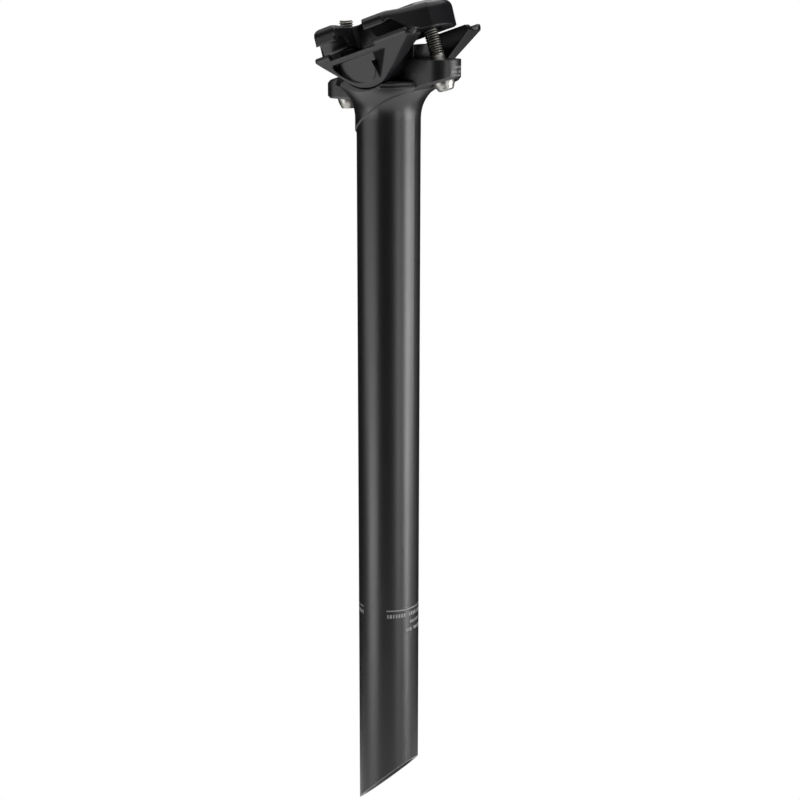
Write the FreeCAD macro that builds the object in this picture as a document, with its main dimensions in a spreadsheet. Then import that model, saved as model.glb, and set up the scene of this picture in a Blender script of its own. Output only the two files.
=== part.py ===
import FreeCAD, Part
import math
import os
import Sketcher

# Bicycle seatpost, 27.2 mm, with a two-bolt inline head. Millimetres.
# Row frame: origin on the tube's axis at the minimum insertion line, +Z up the tube,
# +X to the rear of the bicycle. Side outlines give x and the height over the rail centre.
# Clamp frame: origin midway between the saddle rails, u along the rails and up to the rear,
# v across them, w square to them. A bolt's frame: origin where it swings under its ear, +Z up it.

DRIVING = [
    ("tube_diameter", 27.2),
    ("tube_wall", 2.2),
    ("post_length", 350.0),
    ("cut_drop", 26.8),
    ("full_insertion", 75.0),
    ("bore_top", 47.0),
    ("straight_drop", 41.0),
    ("neck_growth", 0.05),
    ("neck_drop", 31.0),
    ("flare_radius", 15.5),
    ("flare_rise", 13.5),
    ("rim_drop", 14.6),
    ("rim_round", 2.5),
    ("head_width", 39.0),
    ("shell_step", 0.6),
    ("shell_bevel", 1.0),
    ("shell_front_x", 18.0),
    ("shell_front_drop", 42.0),
    ("shell_mid_x", 3.0),
    ("shell_mid_drop", 27.2),
    ("shell_rear_inset", 6.9),
    ("shell_curve", 58.0),
    ("rail_diameter", 7.0),
    ("rail_spacing", 44.0),
    ("rail_tilt", 17.0),
    ("tilt_axis_x", 1.5),
    ("tilt_axis_drop", 3.2),
    ("trough_radius", 14.8),
    ("hump_wall", 2.4),
    ("hump_width", 15.6),
    ("head_lean", 10.3),
    ("ear_radius", 8.6),
    ("front_ear", 21.8),
    ("rear_ear", 26.4),
    ("front_ear_top", 12.6),
    ("front_ear_slope", 15.0),
    ("front_ear_floor", 23.8),
    ("rear_ear_top", 6.0),
    ("rear_ear_floor", 13.2),
    ("ear_root", 2.3),
    ("ear_bevel", 0.9),
    ("keel_front", 14.0),
    ("keel_rear", 13.0),
    ("keel_half", 8.0),
    ("keel_drop", 34.0),
    ("wing_sweep_front", 25.5),
    ("wing_sweep_rear", 33.0),
    ("wing_sweep_shift", 0.7),
    ("side_clear", 15.9),
    ("cradle_gap", 0.2),
    ("cradle_u", 0.5),
    ("cradle_drop", 3.5),
    ("bridge_wall", 3.2),
    ("bridge_reach", 72.0),
    ("wing_shift", 1.0),
    ("wing_inside", 16.5),
    ("wing_outside", 26.5),
    ("wing_foot", 19.2),
    ("wing_foot_drop", 18.0),
    ("wing_shoulder", 2.6),
    ("wing_front", 19.3),
    ("wing_rear", 28.8),
    ("wing_toe", 1.8),
    ("front_slope", 46.5),
    ("rear_slope", 32.0),
    ("crest_drop", 1.0),
    ("crest_round", 0.9),
    ("lip_drop", 3.6),
    ("window_reach", 11.8),
    ("flank_floor", 22.1),
    ("flank_lean", 7.0),
    ("flank_top", 5.2),
    ("flank_front", 12.6),
    ("flank_rear", 6.9),
    ("flank_foot", 15.6),
    ("ramp_run", 11.0),
    ("ramp_rise", 4.2),
    ("clamp_open", 1.4),
    ("clamp_floor", 1.3),
    ("clamp_top", 9.9),
    ("saddle_top", 8.85),
    ("saddle_front", 11.0),
    ("saddle_rear", 4.0),
    ("finger_top", 8.45),
    ("finger_reach", 25.2),
    ("finger_end", 18.0),
    ("finger_gap", 6.8),
    ("finger_corner", 1.6),
    ("finger_lip", 3.7),
    ("finger_step", 1.9),
    ("front_finger_top", 10.75),
    ("front_finger_inside", 18.4),
    ("front_finger_round", 3.6),
    ("front_finger_slope", 4.7),
    ("rear_finger_round", 3.0),
    ("nose_end", 29.4),
    ("nose_half", 8.5),
    ("nose_radius", 17.0),
    ("nose_round", 3.4),
    ("waist_radius", 32.0),
    ("waist_depth", 11.5),
    ("gap_corner", 2.6),
    ("belly_half", 11.3),
    ("belly_edge", 13.9),
    ("belly_curve", 6.0),
    ("groove_wall", 2.5),
    ("nut_reach", 21.7),
    ("nut_height", 5.0),
    ("nut_radius", 4.0),
    ("nut_length", 18.0),
    ("nut_gap", 0.05),
    ("nut_play", 0.6),
    ("nut_hole", 3.65),
    ("slot_radius", 3.8),
    ("front_slot_low", 71.5),
    ("front_slot_high", 88.5),
    ("rear_slot_low", 88.8),
    ("rear_slot_high", 104.6),
    ("well_start", 8.5),
    ("well_end", 18.0),
    ("well_slope", 17.0),
    ("bolt_radius", 3.0),
    ("bolt_length", 32.5),
    ("bolt_chamfer", 0.5),
    ("hole_radius", 3.9),
    ("seat_radius", 5.5),
    ("seat_gap", 0.15),
    ("seat_roof", 4.5),
    ("washer_base", 1.0),
    ("washer_top", 3.9),
    ("washer_hole", 3.2),
    ("head_radius", 4.7),
    ("head_foot", 3.3),
    ("head_height", 5.2),
    ("head_rim", 1.2),
    ("head_curve", 9.0),
    ("socket_radius", 1.9),
    ("socket_depth", 2.6),
    ("front_lean", 2.08),
    ("rear_lean", 19.17),
    ("front_span", 22.45),
    ("rear_span", 27.13),
]
BEYOND = 40


class Size:
    """A number together with the spreadsheet expression that gives it."""

    def __init__(self, value, text):
        self.value = value
        self.text = text

    @staticmethod
    def of(other):
        return other if isinstance(other, Size) else Size(float(other), "(%.6g)" % other)

    def __add__(self, other):
        other = Size.of(other)
        return Size(self.value + other.value, "(%s + %s)" % (self.text, other.text))

    def __radd__(self, other):
        return Size.of(other) + self

    def __sub__(self, other):
        other = Size.of(other)
        return Size(self.value - other.value, "(%s - %s)" % (self.text, other.text))

    def __rsub__(self, other):
        return Size.of(other) - self

    def __mul__(self, other):
        other = Size.of(other)
        return Size(self.value * other.value, "(%s * %s)" % (self.text, other.text))

    def __rmul__(self, other):
        return Size.of(other) * self

    def __truediv__(self, other):
        other = Size.of(other)
        return Size(self.value / other.value, "(%s / %s)" % (self.text, other.text))

    def __neg__(self):
        return Size(-self.value, "(-1 * %s)" % self.text)


def root(part):
    return Size(math.sqrt(part.value), "sqrt(%s)" % part.text)


def sine(part):
    return Size(math.sin(math.radians(part.value)), "sin(%s * 1 deg)" % part.text)


def cosine(part):
    return Size(math.cos(math.radians(part.value)), "cos(%s * 1 deg)" % part.text)


def tangent(part):
    return Size(math.tan(math.radians(part.value)), "tan(%s * 1 deg)" % part.text)


doc = FreeCAD.newDocument("seatpost")
sheet = doc.addObject("Spreadsheet::Sheet", "Sizes")
for row, (alias, number) in enumerate(DRIVING, start=1):
    sheet.set("A%d" % row, alias)
    sheet.set("B%d" % row, "%g" % number)
    sheet.setAlias("B%d" % row, alias)
doc.recompute()


class Sizes:
    """The driving dimensions, each read from its cell."""

    def __getattr__(self, alias):
        return Size(float(getattr(sheet, alias)), "Sizes.%s" % alias)


size = Sizes()


class Line:
    """A straight side of an outline, to a point."""

    def __init__(self, x, y):
        self.end = (Size.of(x), Size.of(y))
        self.radius = None


class Arc(Line):
    """A round side of an outline, to a point: bend is +1 to turn left and -1 to turn right."""

    def __init__(self, x, y, radius, bend):
        super().__init__(x, y)
        self.radius = Size.of(radius)
        self.bend = bend


def new_body(label):
    body = doc.addObject("PartDesign::Body", label + "_body")
    body.Label = label
    return body


def origin_plane(body, role):
    for feature in body.Origin.OriginFeatures:
        if feature.Role == role:
            return feature
    raise ValueError("no plane " + role)


def new_sketch(body, name, role, shift=(0, 0, 0)):
    """Sketch on a plane of the body's origin: x and y along the plane, z square to it."""
    sketch = body.newObject("Sketcher::SketchObject", name)
    sketch.AttachmentSupport = [(origin_plane(body, role), "")]
    sketch.MapMode = "FlatFace"
    sketch.AttachmentOffset = FreeCAD.Placement(
        FreeCAD.Vector(*[Size.of(part).value for part in shift]), FreeCAD.Rotation()
    )
    for axis, part in zip("xyz", shift):
        if isinstance(part, Size):
            sketch.setExpression("AttachmentOffset.Base." + axis, part.text)
    return sketch


def arc_between(start, side):
    first = FreeCAD.Vector(start[0].value, start[1].value, 0)
    last = FreeCAD.Vector(side.end[0].value, side.end[1].value, 0)
    chord = last - first
    half = chord.Length / 2
    rise = math.sqrt(max(side.radius.value**2 - half**2, 0.0))
    left = FreeCAD.Vector(-chord.y, chord.x, 0).normalize()
    centre = first + chord * 0.5 + left * (rise * side.bend)
    circle = Part.Circle(centre, FreeCAD.Vector(0, 0, 1), side.radius.value)
    from_angle = math.atan2(first.y - centre.y, first.x - centre.x)
    to_angle = math.atan2(last.y - centre.y, last.x - centre.x)
    if side.bend > 0:
        return Part.ArcOfCircle(circle, from_angle, to_angle), 1, 2
    return Part.ArcOfCircle(circle, to_angle, from_angle), 2, 1


def is_half_circle(start, side):
    """An arc between two points, one above the other, that are its radius from a middle point."""
    upright = abs(start[0].value - side.end[0].value) < 1e-9
    return upright and abs(abs(start[1].value - side.end[1].value) - 2 * side.radius.value) < 1e-9


def pin_point(sketch, geometry, point, coordinates):
    for kind, axis, part in zip(("DistanceX", "DistanceY"), (-2, -1), coordinates):
        if abs(part.value) < 1e-9:
            sketch.addConstraint(Sketcher.Constraint("PointOnObject", geometry, point, axis))
            continue
        ends = (-1, 1, geometry, point) if part.value > 0 else (geometry, point, -1, 1)
        part = part if part.value > 0 else -part
        number = sketch.addConstraint(Sketcher.Constraint(kind, *ends, part.value))
        sketch.setExpression("Constraints[%d]" % number, part.text)


def draw(sketch, sides):
    """Closed outline of lines and arcs: each side starts where the one before it ends."""
    start = sides[-1].end
    numbers = []
    for side in sides:
        if side.radius is None:
            line = Part.LineSegment(
                FreeCAD.Vector(start[0].value, start[1].value, 0),
                FreeCAD.Vector(side.end[0].value, side.end[1].value, 0),
            )
            numbers.append((sketch.addGeometry(line), 1, 2))
        else:
            arc, head, tail = arc_between(start, side)
            numbers.append((sketch.addGeometry(arc), head, tail))
        start = side.end
    for (last, _, tail), (following, head, _) in zip(numbers, numbers[1:] + numbers[:1]):
        sketch.addConstraint(Sketcher.Constraint("Coincident", last, tail, following, head))
    start = sides[-1].end
    for (geometry, _, tail), side in zip(numbers, sides):
        pin_point(sketch, geometry, tail, side.end)
        if side.radius is not None and is_half_circle(start, side):
            sketch.addConstraint(Sketcher.Constraint("Vertical", geometry, 3, geometry, tail))
        elif side.radius is not None:
            number = sketch.addConstraint(Sketcher.Constraint("Radius", geometry, side.radius.value))
            sketch.setExpression("Constraints[%d]" % number, side.radius.text)
        start = side.end


def draw_circle(sketch, x, y, radius):
    x, y, radius = Size.of(x), Size.of(y), Size.of(radius)
    circle = Part.Circle(FreeCAD.Vector(x.value, y.value, 0), FreeCAD.Vector(0, 0, 1), radius.value)
    geometry = sketch.addGeometry(circle)
    pin_point(sketch, geometry, 3, (x, y))
    number = sketch.addConstraint(Sketcher.Constraint("Radius", geometry, radius.value))
    sketch.setExpression("Constraints[%d]" % number, radius.text)


def mirrored(sides, x=False, y=False):
    """The same outline on the other side of an axis, gone round the same way."""
    points = [side.end for side in sides]
    starts = points[-1:] + points[:-1]
    flipped = []
    for side, start in reversed(list(zip(sides, starts))):
        end_x = -start[0] if x else start[0]
        end_y = -start[1] if y else start[1]
        if side.radius is None:
            flipped.append(Line(end_x, end_y))
        else:
            bend = side.bend if x != y else -side.bend
            flipped.append(Arc(end_x, end_y, side.radius, bend))
    return flipped


def swept(body, kind, sketch, length, both_ways, reverse):
    feature = body.newObject(kind, sketch.Name + "_" + kind.split("::")[1].lower())
    feature.Profile = sketch
    length = Size.of(length)
    feature.Length = length.value
    feature.setExpression("Length", length.text)
    feature.Reversed = reverse
    if both_ways:
        feature.SideType = "Symmetric"
    body.Tip = feature
    return feature


def pad(body, sketch, length, both_ways=False, reverse=False):
    return swept(body, "PartDesign::Pad", sketch, length, both_ways, reverse)


def pocket(body, sketch, length, both_ways=False, reverse=False):
    return swept(body, "PartDesign::Pocket", sketch, length, both_ways, reverse)


def revolve(body, sketch, kind="PartDesign::Revolution"):
    feature = body.newObject(kind, sketch.Name + "_turned")
    feature.Profile = sketch
    feature.ReferenceAxis = (sketch, ["V_Axis"])
    feature.Angle = 360
    body.Tip = feature
    return feature


def soften(body, name, radius, chosen, kind="PartDesign::Fillet"):
    """Rounds or bevels the edges of the body's tip for which chosen(edge) holds."""
    doc.recompute()
    tip = body.Tip
    names = ["Edge%d" % (i + 1) for i, edge in enumerate(tip.Shape.Edges) if chosen(edge)]
    if not names:
        raise ValueError("no edges for " + name)
    feature = body.newObject(kind, name)
    feature.Base = (tip, names)
    length = "Size" if kind.endswith("Chamfer") else "Radius"
    setattr(feature, length, radius.value)
    feature.setExpression(length, radius.text)
    body.Tip = feature
    doc.recompute()
    return feature


# Places that several pieces share, in the row frame
ACROSS = FreeCAD.Vector(0, 1, 0)
tube_radius = size.tube_diameter / 2
rail_radius = size.rail_diameter / 2
rail_level = size.post_length - size.cut_drop - size.full_insertion
tip_level = rail_level - size.post_length
axis_level = rail_level - size.tilt_axis_drop
neck_level = rail_level - size.neck_drop
cradle_radius = size.trough_radius - size.cradle_gap
CLAMP_PLACE = FreeCAD.Placement(
    FreeCAD.Vector(0, 0, rail_level.value), FreeCAD.Rotation(ACROSS, -size.rail_tilt.value)
)


def nut_place(side, lean):
    """Frame of a nut, whose bolt leans: side is -1 at the front and +1 at the rear."""
    nut = CLAMP_PLACE.multVec(FreeCAD.Vector(side * size.nut_reach.value, 0, size.nut_height.value))
    return FreeCAD.Placement(nut, FreeCAD.Rotation(ACROSS, -lean.value))


def bolt_place(side, span, lean):
    """Frame of a bolt whose nut lies span above it."""
    nut = nut_place(side, lean)
    return FreeCAD.Placement(nut.multVec(FreeCAD.Vector(0, 0, -span.value)), nut.Rotation)


FRONT_BOLT = bolt_place(-1, size.front_span, size.front_lean)
REAR_BOLT = bolt_place(1, size.rear_span, size.rear_lean)


def flared_head(radius):
    """The sides of a half section from the neck, as wide as radius, up to the middle of the rim."""
    curve, rim = size.flare_radius, rail_level - size.rim_drop
    out = radius + curve - root(curve * curve - size.flare_rise * size.flare_rise)
    return [
        Line(radius, neck_level), Arc(out, neck_level + size.flare_rise, curve, -1),
        Line(out, rim - size.rim_round), Arc(out - size.rim_round, rim, size.rim_round, 1), Line(0, rim),
    ]


def drill(body, name, place, sides):
    """Cuts a turned shape, whose half section is sides, about a bolt's axis."""
    sketch = new_sketch(body, name, "XZ_Plane")
    turned = place.Rotation.Angle * (-1 if place.Rotation.Axis.y > 0 else 1)
    sketch.AttachmentOffset = FreeCAD.Placement(
        FreeCAD.Vector(place.Base.x, place.Base.z, 0),
        FreeCAD.Rotation(FreeCAD.Vector(0, 0, 1), math.degrees(turned)),
    )
    draw(sketch, sides)
    return revolve(body, sketch, "PartDesign::Groove")


def both_sides(sides):
    return sides, mirrored(sides, x=True)


def build_ears():
    """The two ears and the walls of the trough between them, as one bar along the head."""
    body = new_body("ears")
    hump = size.trough_radius + size.hump_wall
    hump_run, hump_rise = hump * cosine(size.head_lean), hump * sine(size.head_lean)
    front_wall, rear_wall = size.tilt_axis_x - hump_run, size.tilt_axis_x + hump_run
    front_end = size.front_ear + size.ear_radius + 2
    rear_end = size.rear_ear + size.ear_radius + 1
    front_root = front_wall + size.ear_root
    fall = (front_end + front_root) * tangent(size.front_ear_slope)
    rise = (rear_end - size.keel_rear) * tangent(size.rear_lean - 1)
    ears = new_sketch(body, "ears", "XZ_Plane", (0, rail_level, 0))
    draw(ears, [
        Line(front_root, -size.front_ear_top), Line(-front_end, -size.front_ear_top - fall),
        Line(-front_end, -size.front_ear_floor), Line(-size.keel_front, -size.front_ear_floor),
        Line(-size.keel_half, -size.keel_drop), Line(size.keel_half, -size.keel_drop),
        Line(size.keel_rear, -size.rear_ear_floor - rise), Line(rear_end, -size.rear_ear_floor),
        Line(rear_end, -size.rear_ear_top), Line(rear_wall, -size.rear_ear_top),
        Line(rear_wall, hump_rise - size.tilt_axis_drop), Line(front_wall, -size.tilt_axis_drop - hump_rise),
    ])
    pad(body, ears, size.ear_radius * 2, both_ways=True)

    # round ends, seen from above, and bevels along the lower edges
    rounding = new_sketch(body, "ear_ends", "XY_Plane", (0, 0, rail_level))
    radius, wide = size.ear_radius, size.tube_diameter
    for way, reach in ((1, size.rear_ear), (-1, size.front_ear)):
        sides = [
            Line(BEYOND, -wide), Line(BEYOND, wide), Line(reach, wide), Line(reach, radius),
            Arc(reach, -radius, radius, -1), Line(reach, -wide),
        ]
        draw(rounding, sides if way > 0 else mirrored(sides, x=True))
    pocket(body, rounding, BEYOND * 2, both_ways=True)
    soften(body, "ear_bevel", size.ear_bevel, is_low_ear_edge, "PartDesign::Chamfer")
    return body


def is_low_ear_edge(edge):
    """Edges round the undersides of the two ears, on their sides and round ends."""
    places = [vertex.Point for vertex in edge.Vertexes]
    middle = edge.valueAt((edge.FirstParameter + edge.LastParameter) / 2)
    low = middle.z < rail_level.value - size.rear_ear_floor.value + 0.5
    outside = all(abs(place.x) > size.keel_rear.value - 0.5 for place in places)
    beside = abs(abs(middle.y) - size.ear_radius.value) < 0.1 or abs(middle.x) > size.front_ear.value + 2
    return low and outside and beside and len(places) == 2 and edge.Length > 2


def build_post():
    body = new_body("post")

    # the head's skin stands a step proud of the tube and ends in a bevelled, slanting edge
    shell = tube_radius + size.shell_step
    skin = new_sketch(body, "skin", "XZ_Plane")
    draw(skin, [Line(0, neck_level - 14), Line(shell, neck_level - 14)] + flared_head(shell))
    revolve(body, skin)
    rear_x = size.rear_ear - size.shell_rear_inset
    under_ear = (size.ear_radius + 1 + size.shell_rear_inset) * tangent(size.rear_lean - 1)
    rear_z = -size.rear_ear_floor - under_ear
    below = new_sketch(body, "below_skin", "XZ_Plane", (0, rail_level, 0))
    draw(below, [
        Line(-size.shell_front_x, -size.shell_front_drop), Line(size.shell_mid_x, -size.shell_mid_drop),
        Arc(rear_x, rear_z, size.shell_curve, -1), Line(rear_x, -BEYOND * 2),
        Line(-size.shell_front_x, -BEYOND * 2),
    ])
    pocket(body, below, BEYOND * 2, both_ways=True)
    soften(body, "skin_bevel", size.shell_bevel, is_skin_edge, "PartDesign::Chamfer")

    ears = body.newObject("PartDesign::Boolean", "ears_joined")
    ears.Type = "Fuse"
    ears.setObjects([build_ears()])
    body.Tip = ears

    # the straight tube, which grows a very little towards its flared top
    straight_end = rail_level - size.straight_drop
    tube = new_sketch(body, "tube", "XZ_Plane")
    draw(tube, [
        Line(0, tip_level), Line(tube_radius, tip_level), Line(tube_radius, straight_end),
    ] + flared_head(tube_radius + size.neck_growth))
    revolve(body, tube)

    # narrower trough walls and flat sides on the head
    for name, half, top in (
        ("hump_sides", size.hump_width / 2, -size.rear_ear_top), ("head_sides", size.head_width / 2, -BEYOND),
    ):
        trim = new_sketch(body, name, "YZ_Plane", (0, rail_level, 0))
        for sides in both_sides([Line(half, top), Line(BEYOND, top), Line(BEYOND, 4), Line(half, 4)]):
            draw(trim, sides)
        pocket(body, trim, BEYOND * 2, both_ways=True)

    # the trough itself and the room for the wings beside it
    trough = new_sketch(body, "trough", "XZ_Plane", (size.tilt_axis_x, axis_level, 0))
    draw_circle(trough, 0, 0, size.trough_radius)
    pocket(body, trough, BEYOND * 2, both_ways=True)
    for name, side in (("near_wing_room", 1), ("far_wing_room", -1)):
        middle = size.tilt_axis_x + size.wing_sweep_shift
        room = new_sketch(body, name, "XZ_Plane", (middle, axis_level, size.side_clear * side))
        draw(room, wing_room())
        pocket(body, room, 12, reverse=side > 0)

    # seats for the spherical washers and the holes above them
    reach, roof = size.seat_radius + size.seat_gap, size.seat_roof
    roof_half = root(reach * reach - roof * roof)
    for name, place in (("front_seat", FRONT_BOLT), ("rear_seat", REAR_BOLT)):
        drill(body, name, place, [
            Line(reach, -6), Line(reach, 0), Arc(roof_half, roof, reach, 1),
            Line(size.hole_radius, roof), Line(size.hole_radius, 14), Line(0, 14), Line(0, -6),
        ])

    # open bore with a coned end, and the slanting cut across the lower end
    inner = tube_radius - size.tube_wall
    bore = new_sketch(body, "bore", "XZ_Plane")
    bore_end = rail_level - size.bore_top
    draw(bore, [
        Line(0, tip_level - 1), Line(inner, tip_level - 1), Line(inner, bore_end),
        Line(0, bore_end + inner / 2),
    ])
    revolve(body, bore, "PartDesign::Groove")
    cut = new_sketch(body, "lower_cut", "XZ_Plane", (0, tip_level, 0))
    overrun = 5
    overfall = overrun * size.cut_drop / size.tube_diameter
    draw(cut, [
        Line(-tube_radius - overrun, -BEYOND), Line(tube_radius + overrun, -BEYOND),
        Line(tube_radius + overrun, size.cut_drop + overfall), Line(-tube_radius - overrun, -overfall),
    ])
    pocket(body, cut, BEYOND * 2, both_ways=True)
    doc.recompute()
    return body


def is_skin_edge(edge):
    """The slanting lower edge of the skin, on its outer face."""
    box = edge.BoundBox
    return box.ZMax < rail_level.value - size.rim_drop.value - 1 and edge.Length > 20 and box.ZLength > 3


def wing_room():
    """Outline, about the trough's axis, of all that the wings sweep through."""
    radius = size.trough_radius + size.cradle_gap
    front, rear = size.wing_sweep_front, size.wing_sweep_rear
    front_x, front_z = radius * sine(front), radius * cosine(front)
    rear_x, rear_z = radius * sine(rear), radius * cosine(rear)
    far, high = Size.of(26), 10
    return [
        Arc(rear_x, -rear_z, radius, 1), Line(far, (far - rear_x) * tangent(rear) - rear_z), Line(far, high),
        Line(-far, high), Line(-far, (far - front_x) * tangent(front) - front_z), Line(-front_x, -front_z),
    ]


def build_lower_cradle():
    body = new_body("lower_cradle")
    body.Placement = CLAMP_PLACE

    # both wings as one plate, with a round foot, two straight rising edges and soft upper corners
    radius = cradle_radius + 0.15
    centre_u = size.cradle_u + size.wing_shift
    front, rear = size.front_slope, size.rear_slope
    front_u, front_w = centre_u - radius * sine(front), -size.cradle_drop - radius * cosine(front)
    rear_u, rear_w = centre_u + radius * sine(rear), -size.cradle_drop - radius * cosine(rear)
    crest, corner, toe = size.crest_drop, size.crest_round, size.wing_toe
    heel_w = rear_w + (size.wing_rear - rear_u) * tangent(rear)
    toe_u = size.wing_front - toe
    side = new_sketch(body, "wing_side", "XZ_Plane")
    draw(side, [
        Arc(rear_u, rear_w, radius, 1), Line(size.wing_rear, heel_w), Line(size.wing_rear, -crest - corner),
        Arc(size.wing_rear - corner, -crest, corner, 1), Line(corner - size.wing_front, -crest),
        Arc(-size.wing_front, -crest - corner, corner, 1), Line(-size.wing_front, -crest - toe),
        Line(-toe_u, front_w + (toe_u + front_u) * tangent(front)), Line(front_u, front_w),
    ])
    pad(body, side, size.wing_outside * 2, both_ways=True)

    # sloping flanks, the gap between the wings, the lowered lips and the rail grooves
    section = new_sketch(body, "flanks", "YZ_Plane")
    outside, shoulder = size.wing_outside, size.wing_shoulder
    narrowing = (outside - size.wing_foot) / (size.wing_foot_drop - shoulder)
    for sides in both_sides([
        Line(outside, -shoulder), Line(outside - narrowing * BEYOND / 2, -shoulder - BEYOND / 2),
        Line(BEYOND, -shoulder - BEYOND / 2), Line(BEYOND, -shoulder),
    ]):
        draw(section, sides)
    pocket(body, section, BEYOND * 2, both_ways=True)
    gap = new_sketch(body, "between_wings", "YZ_Plane")
    inside = size.wing_inside
    draw(gap, [Line(-inside, -BEYOND), Line(inside, -BEYOND), Line(inside, BEYOND), Line(-inside, BEYOND)])
    pocket(body, gap, BEYOND * 2, both_ways=True)
    window = new_sketch(body, "lowered_lips", "XZ_Plane")
    reach, lip = size.window_reach, size.lip_drop
    draw(window, [Line(-reach, -lip), Line(reach, -lip), Line(reach, BEYOND), Line(-reach, BEYOND)])
    pocket(body, window, BEYOND * 2, both_ways=True)
    grooves = new_sketch(body, "rail_grooves", "YZ_Plane")
    draw_circle(grooves, size.rail_spacing / 2, 0, rail_radius)
    draw_circle(grooves, -size.rail_spacing / 2, 0, rail_radius)
    pocket(body, grooves, BEYOND * 2, both_ways=True)

    for name, way in (("near_flank", 1), ("far_flank", -1)):
        scoop_flank(body, name, way)

    # the bridge that rocks in the head's trough
    bridge = new_sketch(body, "bridge", "XZ_Plane", (size.cradle_u, -size.cradle_drop, 0))
    outer, inner = cradle_radius, cradle_radius - size.bridge_wall
    run, fall = sine(size.bridge_reach), cosine(size.bridge_reach)
    draw(bridge, [
        Arc(outer * run, -outer * fall, outer, 1), Line(inner * run, -inner * fall),
        Arc(-inner * run, -inner * fall, inner, -1), Line(-outer * run, -outer * fall),
    ])
    pad(body, bridge, size.wing_inside * 2 + 1, both_ways=True)
    doc.recompute()
    return body


def scoop_flank(body, name, way):
    """A shallow pocket in a wing's flank, with a leaning floor that runs out in a ramp to the rear."""
    front, rear, top, foot = size.flank_front, size.flank_rear, size.flank_top, size.flank_foot
    leaning = FreeCAD.Rotation(FreeCAD.Vector(1, 0, 0), size.flank_lean.value * way)
    flank = new_sketch(body, name + "_pocket", "XZ_Plane")
    flank.AttachmentOffset = FreeCAD.Placement(FreeCAD.Vector(0, 0, size.flank_floor.value * way), leaning)
    draw(flank, [
        Arc(3.2 - front, 4.2 - foot, 9, 1), Arc(-3.4, 0.2 - foot, 13, 1), Arc(3.4, -foot, 12, 1),
        Arc(rear - 0.2, 4 - foot, 12, 1), Line(rear, -top), Line(0.6 - front, -top),
        Arc(-front, -top - 1, 0.9, 1),
    ])
    pocket(body, flank, 12, reverse=way > 0)
    ramp = new_sketch(body, name + "_ramp", "XY_Plane")
    floor_v = size.flank_floor - top * tangent(size.flank_lean)
    ramp.AttachmentOffset = FreeCAD.Placement(FreeCAD.Vector(0, -floor_v.value * way, -top.value), leaning)
    start, run, rise = rear - 0.1, size.ramp_run, size.ramp_rise
    slope = [Line(start, 0), Line(start + run, rise), Line(start, rise)]
    draw(ramp, slope if way < 0 else mirrored(slope, y=True))
    pocket(body, ramp, foot - top)


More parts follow.
